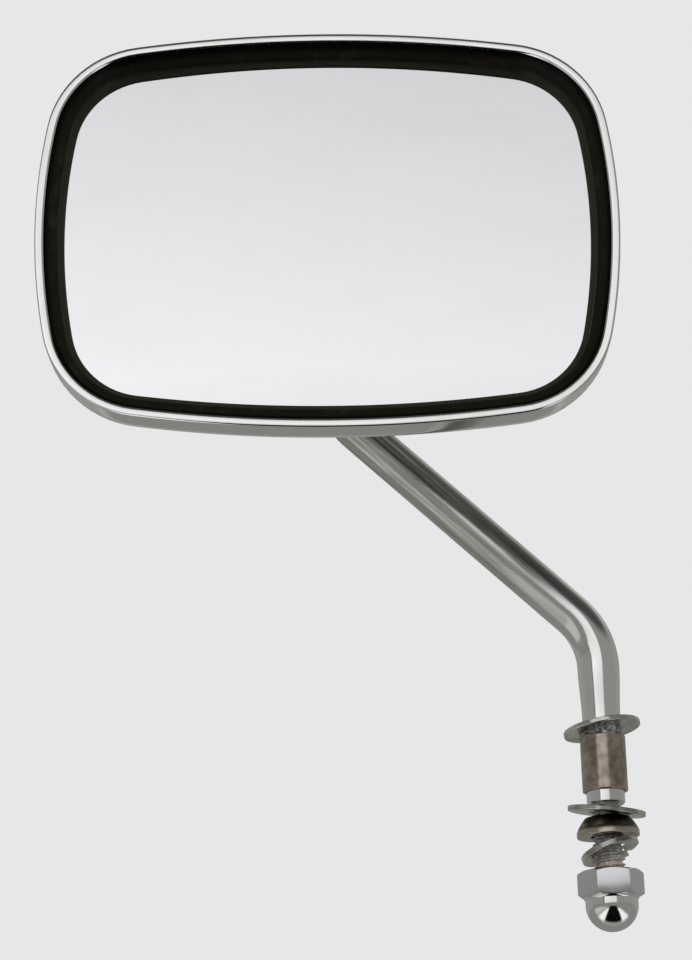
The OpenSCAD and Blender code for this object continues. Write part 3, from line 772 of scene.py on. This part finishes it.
# %% The dish behind its wall
SHEET = 0.9 * MM
WALL_DEPTH, WALL_DRAFT = 7 * MM, 0.12 * MM
FILLET, FILLET_TURN = 14 * MM, math.radians(60)
BACK_DEPTH, LAND_R = 28.5 * MM, 17.5 * MM


def fillet_rings(radius, steps):
    """The fillet behind the side wall, for the outside or the inside of the sheet."""
    mid = WALL_DRAFT + FILLET
    turns = [FILLET_TURN * k / steps for k in range(steps + 1)]
    return [ring_at(mid - radius * math.cos(t), WALL_DEPTH + radius * math.sin(t)) for t in turns]


def dome_rings(radius, back, steps):
    """Rings from the end of the fillet to the round land, each point on its own ray.

    The height runs from one to the other as a smooth curve that leaves the fillet at its slope.
    """
    foot = fillet_rings(radius, 1)[-1]
    slope = 1 / math.tan(FILLET_TURN)
    rings = []
    for m in [k / steps for k in range(1, steps + 1)]:
        ring = []
        for p in foot:
            far = Vector((p.x, p.y)).length
            run = far - LAND_R
            rise = p.z * (1 - 3 * m * m + 2 * m**3) + back * (3 * m * m - 2 * m**3)
            rise += slope * run * (m - 2 * m * m + m**3)
            ring.append(Vector((p.x, p.y, 0)) * (far - run * m) / far + Vector((0, 0, rise)))
        rings.append(ring)
    return rings


def round_ring(radius, depth):
    """A round ring whose points lie in the outline's directions."""
    foot = outline(WALL_DRAFT + FILLET * (1 - math.cos(FILLET_TURN)))
    return [Vector((radius * p.x / p.length, radius * p.y / p.length, depth)) for p in foot]


# %% [markdown]
# The rim's section is a row of arcs: an inner fold, a gently bowed front and an outer roll. A plain
# bevel would give it one even roundness, but here the highlight on the bowed front is what one sees
# first. Each point is an inset from the outline and a depth behind the front, in millimetres.

# %% The rim's section
RIM_W, EDGE_R, FOLD_R = 2.2, 0.4, 0.55
LEAN_OUT, LEAN_IN = math.radians(7), math.radians(9)
edge_in, fold_in = EDGE_R * (1 - math.sin(LEAN_OUT)), FOLD_R * (1 - math.sin(LEAN_IN))
bow_r = (RIM_W - fold_in - edge_in) / (math.sin(LEAN_IN) + math.sin(LEAN_OUT))
edge_w = bow_r * (1 - math.cos(LEAN_OUT)) + EDGE_R * math.cos(LEAN_OUT)
fold_w = bow_r * (1 - math.cos(LEAN_IN)) + FOLD_R * math.cos(LEAN_IN)
fold_middle, bow_middle = RIM_W - FOLD_R, edge_in + bow_r * math.sin(LEAN_OUT)

fold = [math.radians(a) for a in (150, 125, 100, 78, 58, 40, 25, 14)]
rim_section = [(fold_middle + FOLD_R * math.sin(a), fold_w - FOLD_R * math.cos(a)) for a in fold]
bowed = [LEAN_IN - (LEAN_IN + LEAN_OUT) * k / 8 for k in range(9)]
rim_section += [(bow_middle + bow_r * math.sin(a), bow_r * (1 - math.cos(a))) for a in bowed]
roll = [math.radians(a) for a in (20, 35, 52, 70, 90)]
rim_section += [(EDGE_R * (1 - math.sin(a)), edge_w - EDGE_R * math.cos(a)) for a in roll]
side_wall = [(0.002, edge_w + 0.25), (0.02, 1.6), (0.06, 4)]
print("rim of", len(rim_section), "points, front bowed to a radius of", round(bow_r, 2), "mm")

# %% Dish
SOCKET_R, HOLE_GAP = 11 * MM, 0.3 * MM
FOLD_DEPTH = 1.8
HOLE_R = math.sqrt(SOCKET_R**2 - (BACK_DEPTH - SHEET - BALL_DEPTH) ** 2) + HOLE_GAP
shell = start_ring("chrome_dish", AROUND)
outside = [ring_at(inset * MM, depth * MM) for inset, depth in rim_section + side_wall]
outside += fillet_rings(FILLET, 12) + dome_rings(FILLET, BACK_DEPTH, 16)
hole = [round_ring(HOLE_R, BACK_DEPTH), round_ring(HOLE_R, BACK_DEPTH - SHEET)]
inside = fillet_rings(FILLET - SHEET, 8) + dome_rings(FILLET - SHEET, BACK_DEPTH - SHEET, 12)
inner_lip = [ring_at(SHEET + 0.05 * MM, (fold_w + FOLD_DEPTH) * MM)]
draw_rings(shell, outside + hole + inside[::-1] + inner_lip + outside[:1])
finish_mesh(shell, IN_HEAD)
hand_over(shell, "head", "shell")

# %% [markdown]
# ## The rubber gasket
#
# The gasket is an extruded strip bent round the glass. Its face steps down from the rim: an outer
# roll, a soft valley, an inner roll and a thin lip that wipes the glass. A curve with a bevel object
# could sweep it, but its inner half follows the bow of the glass. So each point of its section
# becomes a ring on the head's outline, and the inner rings take up the glass's sag.

# %% Gasket
GLASS_FRONT, GLASS_T = 4.4, 2.2
# Inset, depth and share of the glass's sag, in millimetres.
gasket_section = [
    (2.25, 2.75, 0), (1.17, 2.86, 0), (1.12, 6.7, 0), (1.62, 8.1, 0), (3.6, 8.7, 0.7), (5.9, 8.1, 1),
    (5.9, 6.7, 1), (3.5, 6.7, 1), (3.5, 4.3, 1), (6.8, 4.3, 1), (6.84, 4.1, 1), (6.78, 3.86, 1),
    (6.6, 3.7, 0.97), (6.2, 3.6, 0.93), (5.9, 3.48, 0.86), (5.66, 3.2, 0.78), (5.44, 2.78, 0.68),
    (5.28, 2.52, 0.6), (5.05, 2.36, 0.54), (4.5, 2.22, 0.45), (3.95, 2.08, 0.35), (3.6, 1.9, 0.26),
    (3.25, 1.56, 0.16), (2.9, 1.2, 0.08), (2.6, 1.0, 0.02), (2.42, 0.98, 0), (2.32, 1.12, 0),
    (2.25, 1.5, 0),
]
gasket = start_ring("rubber_gasket", AROUND)
rings = [ring_at(inset * MM, depth * MM, share) for inset, depth, share in gasket_section]
draw_rings(gasket, rings + rings[:1])
finish_mesh(gasket, IN_HEAD, 50)
hand_over(gasket, "head", "gasket")

# %% [markdown]
# ## The glass
#
# The glass is slightly convex, with a ground edge. It could be a flat sheet, but then the panel's
# reflection would be flat too. A ring is laid near its middle, drawn outwards in steps that follow
# the bow, round the ground edge and back to the middle behind.

# %% Glass
EDGE, GROUND = 3.62, 0.35
glass = start_ring("mirror_pane", AROUND)
shares = [0.93, 0.86, 0.76, 0.64, 0.5, 0.36, 0.22, 0.1, 0.01]
glass_back = GLASS_FRONT + GLASS_T
edge_section = ((EDGE + GROUND, GLASS_FRONT), (EDGE, GLASS_FRONT + GROUND), (EDGE, glass_back))
front = [ring_at(EDGE * MM, GLASS_FRONT * MM, 1, share) for share in shares[::-1]]
ground = [ring_at(inset * MM, depth * MM, 1) for inset, depth in edge_section]
back = [ring_at(EDGE * MM, glass_back * MM, 1, share) for share in shares]
draw_rings(glass, front + ground + back)
finish_mesh(glass, IN_HEAD)
hand_over(glass, "head", "mirror_glass")

# %% [markdown]
# ## Turned pieces
#
# Washers, the sleeve, the tapered spacer, the socket and its plastic seat are all turned on a lathe.
# A Screw modifier could wind each section round, but here it is done as on the lathe: one circle,
# extruded and scaled from station to station along a section, and closed onto its first ring. A
# Bevel modifier then breaks the sharp edges.


# %% Lathe
def turned(name, section, placed=Matrix.Identity(4), count=96, bevel=0.0, angle=35):
    """Turns a closed section of (radius, height) points in millimetres into a solid of revolution."""
    radius, height = section[0]
    piece = start_ring(name, count, radius * MM, (0, 0, height * MM))
    for next_radius, next_height in [*section[1:], section[0]]:
        step = Vector((0, 0, (next_height - height) * MM))
        bpy.ops.mesh.extrude_region_move(TRANSFORM_OT_translate={"value": step})
        if next_radius != radius:
            share = next_radius / radius
            bpy.ops.transform.resize(value=(share, share, 1), center_override=(0, 0, next_height * MM))
        radius, height = next_radius, next_height
    finish_mesh(piece, angle=angle)
    if bevel:
        break_edges(piece, bevel)
    settle(piece, placed, angle)
    return piece


def tilted(height, tilt_x, tilt_y):
    """The place of a loose piece that leans on the rod, its height in millimetres."""
    lean = Matrix.Rotation(math.radians(tilt_y), 4, "Y") @ Matrix.Rotation(math.radians(tilt_x), 4, "X")
    return Matrix.Translation((0, 0, height * MM)) @ lean


# %% [markdown]
# The socket is a cup round the ball that goes through the shell's hole, with its flange inside, and
# the seat is a nylon ring between cup and ball. Hollow spheres could be cut open for both, but their
# sections are two arcs about the ball's centre, so the lathe turns them in one go.

# %% Socket and seat at the back of the head
SOCKET_IN_R, SOCKET_OPENING = 9.15, 46
SEAT_OUT_R, SEAT_IN_R, SEAT_OPENING = 9.05, 7.08, 48


def ball_arc(radius, start, stop, steps):
    """Part of a section about the ball's centre, its angles in degrees from the neck."""
    turns = [math.radians(start + (stop - start) * k / steps) for k in range(steps + 1)]
    return [(radius * math.sin(t), radius * math.cos(t)) for t in turns]


cup = ball_arc(SOCKET_R / MM, 71, SOCKET_OPENING, 10) + ball_arc(SOCKET_IN_R, SOCKET_OPENING, 85, 10)
flange = [(10.75, 0.8), (10.75, -7), (12.2, -7), (12.2, 2.2), (17, 2.2), (17, 3.58), (10.4, 3.58)]
socket = turned("ball_housing", cup + flange, IN_SOCKET, bevel=0.12)
hand_over(socket, "head", "ball_socket")

seat_section = ball_arc(SEAT_OUT_R, 79.8, SEAT_OPENING, 8) + ball_arc(SEAT_IN_R, SEAT_OPENING, 76.9, 8)
seat = turned("ball_seat", seat_section, IN_SOCKET)
hand_over(seat, "yaw_seat", "rear_seat")

# %% [markdown]
# ## The rod
#
# The rod is one bar: a turned lower end with a shoulder, a short taper, two equal bends that carry
# it sideways, a bend forwards and a ball. A curve with a round section would do for the bar, but
# not for its tapers, so one ring is extruded along the straights and spun round the bends.


# %% Rod helpers
def middle(piece):
    """The mean place of the selected vertices."""
    mesh = bmesh.from_edit_mesh(piece.data)
    chosen = [vert.co for vert in mesh.verts if vert.select]
    return sum(chosen, Vector()) / len(chosen)


def pull(piece, by, radius_from=1.0, radius_to=1.0):
    """Extrudes the selected ring by a step in millimetres, and scales it to a new radius."""
    bpy.ops.mesh.extrude_region_move(TRANSFORM_OT_translate={"value": Vector(by) * MM})
    if radius_to != radius_from:
        share = radius_to / radius_from
        bpy.ops.transform.resize(value=(share, share, share), center_override=middle(piece))


def walk(piece, direction, stations):
    """Pulls the ring along a direction, past stations of (distance, radius) in millimetres."""
    for (done, radius), (reach, next_radius) in zip(stations, stations[1:]):
        pull(piece, Vector(direction) * (reach - done), radius, next_radius)


def bend(piece, centre, axis, angle, steps=18):
    """Spins the ring round a bend. Spin turns against the right-hand rule, so the angle is negated."""
    before = middle(piece)
    bpy.ops.mesh.spin(steps=steps, angle=-angle, center=Vector(centre) * MM, axis=axis)
    print("bend from", in_mm(before), "to", in_mm(middle(piece)))


# %% Shank and taper
SHANK_R = 4.75
TAPER, TAPER_STEPS = 13, 8
BEND_R, NECK_BEND_R = 19.5, 13.0
CLOSE = 1
TURN = math.pi / 2 - SLOPE
TANGENT = BEND_R * math.tan(TURN / 2)
foot_edge = [(0, 4.25), (0.3, 4.6), (0.5, SHANK_R), (0.65, SHANK_R)]
bend_foot = BEND_Z - TANGENT

rod = start_ring("bent_rod", 72, foot_edge[0][1] * MM)
walk(rod, (0, 0, 1), foot_edge)
pull(rod, (0, 0, bend_foot - TAPER - foot_edge[-1][0] - CLOSE))
# A second ring close under the taper keeps its start crisp.
pull(rod, (0, 0, CLOSE))
swell = [(k / TAPER_STEPS) ** 2 * (3 - 2 * k / TAPER_STEPS) for k in range(TAPER_STEPS + 1)]
taper = [(TAPER * k / TAPER_STEPS, SHANK_R + (ROD_R - SHANK_R) * share) for k, share in enumerate(swell)]
walk(rod, (0, 0, 1), taper)
print("taper ends at", in_mm(middle(rod)))

# %% The three bends
slope_way = Vector((-math.cos(SLOPE), 0, math.sin(SLOPE)))
top_corner = BEND_Z + REACH * math.tan(SLOPE)
bend(rod, (-BEND_R, 0, bend_foot), (0, -1, 0), TURN)
pull(rod, slope_way * (REACH / math.cos(SLOPE) - 2 * TANGENT))
bend(rod, (-REACH + BEND_R, 0, top_corner + TANGENT), (0, 1, 0), TURN)
pull(rod, (0, 0, BALL_Z - NECK_BEND_R - top_corner - TANGENT))
bend(rod, (-REACH, -NECK_BEND_R, BALL_Z - NECK_BEND_R), (1, 0, 0), math.pi / 2)

# %% [markdown]
# From the last bend the ring walks forwards to the ball: over the rod's shoulder, down the cone of
# the neck, and then round the ball in steps of equal angle. The ball could be a sphere joined on,
# but so the whole rod stays one clean mesh.

# %% Neck and ball
BALL_R, NECK_R, POLE = 7.0, 3.3, 0.04
BALL_STEPS = 22
NECK_LEN = BALL_FORWARD - NECK_BEND_R
start = math.asin(NECK_R / BALL_R)
round_ball = [start + (math.pi - POLE - start) * k / BALL_STEPS for k in range(BALL_STEPS + 1)]
neck = [(0, ROD_R), (0.3, ROD_R), (0.55, 5.05), (1.0, 4.4), (2.5, 3.85), (4.0, NECK_R)]
neck += [(NECK_LEN - BALL_R * math.cos(a), BALL_R * math.sin(a)) for a in round_ball]
walk(rod, (0, -1, 0), neck)
finish_mesh(rod)
hand_over(rod, "stem", "stem")

# %% [markdown]
# ## The thread
#
# The stud has a standard inch thread, 18 turns to the inch. A bump pattern could fake it, but its
# teeth show at the edge of the stud. So one tooth is drawn as a short chain of edges, and a Screw
# modifier winds it up the stud. Two bisect cuts square off its ends, inside the shoulder and the nut.
# The cuts leave this one mesh open there, with its faces inwards: its check shows open edges and a
# negative volume. Nothing of that is seen from outside.

# %% Thread
STUD_R, PITCH = 3.97, 25.4 / 18
ROOT_R = STUD_R - 0.61 * PITCH
WIND_FROM, WIND_TURNS, WIND_STEPS = -25.6, 19, 40
THREAD_TOP, THREAD_END = 0.2, -23.9
# Radius, and height as a share of the pitch.
tooth = [(ROOT_R, 0), (ROOT_R, 0.1), (STUD_R, 0.46), (STUD_R, 0.56), (ROOT_R, 0.92), (ROOT_R, 1)]
thread = add_plane("stud_thread", 1)
bpy.ops.object.mode_set(mode="EDIT")
bpy.ops.mesh.delete(type="VERT")
mesh = bmesh.from_edit_mesh(thread.data)
points = [mesh.verts.new((r * MM, 0, (WIND_FROM + PITCH * share) * MM)) for r, share in tooth]
for first, second in zip(points, points[1:]):
    mesh.edges.new((first, second))
bmesh.update_edit_mesh(thread.data)
bpy.ops.object.mode_set(mode="OBJECT")
apply_modifier(
    thread, "SCREW", screw_offset=PITCH * MM, iterations=WIND_TURNS, steps=WIND_STEPS,
    render_steps=WIND_STEPS, use_merge_vertices=True, merge_threshold=0.00001,
)
bpy.ops.object.mode_set(mode="EDIT")
for height, outwards in ((THREAD_TOP, 1), (THREAD_END, -1)):
    cut, away = (0, 0, height * MM), (0, 0, outwards)
    bpy.ops.mesh.select_all(action="SELECT")
    bpy.ops.mesh.bisect(plane_co=cut, plane_no=away, use_fill=True, clear_outer=True)
finish_mesh(thread, angle=40)
hand_over(thread, "stem", "stem")

# %% [markdown]
# ## The loose hardware
#
# Washers, sleeve and tapered spacer rest on the rod at the tilts that the photograph shows. They
# could be modelled leaning, but it is simpler to turn each one flat and then lean it into place. The
# frame gives the middle of each washer.

# %% Washers
WASHER_R, WASHER_T = 9.65, 1.2


def pipe_section(bore, outside, low, high):
    """The section of a plain ring, from its bore to its outside and from its foot to its top."""
    return [(bore, low), (outside, low), (outside, high), (bore, high)]


def loose_washer(name, node, bore, tilt_x, tilt_y):
    """A flat washer in the middle of its node's box, at its tilts in degrees."""
    low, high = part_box(node)
    section = pipe_section(bore, WASHER_R, -WASHER_T / 2, WASHER_T / 2)
    placed = tilted((low.z + high.z) / 2 / MM, tilt_x, tilt_y)
    hand_over(turned(name, section, placed, bevel=0.2), "stem", node)


loose_washer("top_washer", "upper_washer", 5.23, -4, -8)
loose_washer("shoulder_washer", "lower_washer", 4.45, 5, 7)

# %% Sleeve and tapered spacer
SLEEVE_BORE, SLEEVE_R, SLEEVE_FOOT, SLEEVE_TOP = 4.9, 5.65, 3.3, 17.1
sleeve_section = pipe_section(SLEEVE_BORE, SLEEVE_R, SLEEVE_FOOT, SLEEVE_TOP)
hand_over(turned("brown_sleeve", sleeve_section, bevel=0.18), "stem", "sleeve_spacer")

CONE_BORE, CONE_R, CONE_H, CONE_TILT = 4.45, 7.75, 4.8, -1
lean = math.radians(CONE_TILT)
cone_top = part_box("cone_spacer")[0].z / MM + CONE_H * math.cos(lean) + CONE_R * abs(math.sin(lean))
cone_section = [(CONE_BORE, 0), (5.5, 0), (6.35, -1), (7.2, -2.3), (CONE_R, -3.5)]
cone_section += [(CONE_R, -CONE_H), (CONE_BORE, -CONE_H)]
cone = turned("tapered_spacer", cone_section, tilted(cone_top, 0, CONE_TILT), bevel=0.16, angle=30)
hand_over(cone, "stem", "cone_spacer")

# %% [markdown]
# ## The lock washer
#
# A lock washer is a square bar wound into not quite one turn, so its two ends stand apart. A turned
# ring could be cut open, but it would lie flat. So a square of edges is wound by a Screw modifier
# that climbs a little, and the two open ends are filled.

# %% Lock washer
BAR_W, BAR_H, BAR_AT = 2.53, 1.5, 6.135
GAP, GAP_AT, RISE, BAR_STEPS = 9.0, 45, 0.8, 72
OFF_AXIS, LOCK_TILT_X, LOCK_TILT_Y = 0.3, -8, -17
low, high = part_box("lock_washer")
lock = add_plane("split_washer", 1)
lock.matrix_world = (
    Matrix.Rotation(math.radians(GAP_AT + GAP / 2), 4, "Z")
    @ Matrix.Translation(Vector((BAR_AT, 0, -RISE / 2)) * MM)
    @ Matrix.Rotation(math.pi / 2, 4, "X")
    @ Matrix.Diagonal((BAR_W * MM, BAR_H * MM, 1, 1))
)
bpy.ops.object.transform_apply(location=True, rotation=True, scale=True)
bpy.ops.object.mode_set(mode="EDIT")
bpy.ops.mesh.select_all(action="SELECT")
bpy.ops.mesh.delete(type="ONLY_FACE")
bpy.ops.object.mode_set(mode="OBJECT")
apply_modifier(
    lock, "SCREW", angle=math.radians(360 - GAP), screw_offset=RISE * MM, steps=BAR_STEPS,
    render_steps=BAR_STEPS,
)
bpy.ops.object.mode_set(mode="EDIT")
finish_mesh(lock)
break_edges(lock, 0.18)
leaning = tilted((low.z + high.z) / 2 / MM, LOCK_TILT_X, LOCK_TILT_Y)
settle(lock, Matrix.Translation((OFF_AXIS * MM, 0, 0)) @ leaning, 35)
hand_over(lock, "stem", "lock_washer")

# %% [markdown]
# ## The dome nut
#
# The nut is a hexagon whose corners are chamfered by a cone, under a polished dome. The chamfer
# could be a bevel, but that would be straight. A six-sided cylinder and a turned blank with conical
# ends are intersected by a Boolean modifier, which gives the curved chamfer line of a real nut.

# %% Hexagon
NUT_Z, HEX_H, ACROSS, NUT_TURN = -16.5, 6.4, 14.3, 2
BORE_R, MOUTH_R = 4.05, 4.5
HEX_R = ACROSS / 2 / math.cos(math.pi / 6)
FACE_R, BLANK_R = ACROSS / 2 - 0.1, HEX_R + 0.05
CHAMFER = (HEX_R - FACE_R) * math.tan(math.pi / 6)
nut_end = NUT_Z - HEX_H
blank_section = [
    (BORE_R, NUT_Z + BORE_R - MOUTH_R), (MOUTH_R, NUT_Z), (FACE_R, NUT_Z), (BLANK_R, NUT_Z - CHAMFER),
    (BLANK_R, nut_end + CHAMFER), (FACE_R, nut_end), (BORE_R, nut_end),
]
nut = turned("nut_hexagon", blank_section, count=144)
bpy.ops.object.select_all(action="DESELECT")
bpy.ops.mesh.primitive_cylinder_add(
    vertices=6, radius=HEX_R * MM, depth=2 * HEX_H * MM, location=(0, 0, (NUT_Z - HEX_H / 2) * MM)
)
hexagon = bpy.context.object
hexagon.rotation_euler.z = math.radians(NUT_TURN + 30)
bpy.ops.object.transform_apply(location=True, rotation=True, scale=True)
pick(nut)
apply_modifier(nut, "BOOLEAN", operation="INTERSECT", object=hexagon, solver="EXACT")
bpy.data.objects.remove(hexagon)
break_edges(nut, 0.16, sharp=25)
bpy.ops.object.shade_smooth_by_angle(angle=math.radians(20))
hand_over(nut, "stem", "dome_nut")

# %% [markdown]
# The dome is a second piece. It could be drawn out of the hexagon's end, but a turned one that sits
# a little way into the hexagon keeps its curve even, with a fine step where the two meet.

# %% Dome
DOME_R, SKIRT_R, POLE_R = 6.5, 6.85, 0.02
dome_centre = nut_end - 2
skirt = [(POLE_R, 0.8), (SKIRT_R, 0.8), (SKIRT_R, -0.3), (6.75, -0.5), (DOME_R, -0.62), (DOME_R, -0.8)]
turns = [math.radians(a) for a in range(0, 90, 5)]
dome_section = [(radius, nut_end + height) for radius, height in skirt]
dome_section += [(DOME_R * math.cos(t), dome_centre - DOME_R * math.sin(t)) for t in turns]
dome = turned("nut_dome", dome_section + [(POLE_R, dome_centre - DOME_R)])
hand_over(dome, "stem", "dome_nut")

# %% [markdown]
# ## Sizes at the end
#
# The visual model is drawn to fit inside the CAD model's box. One could compare the two by eye, but
# a number is surer, so how far the model grows past the box on each side is printed.

# %% Print the sizes
scene_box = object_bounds()
print("grown by, in mm:", [in_mm(scene - cad) for scene, cad in zip(scene_box, cad_box)])
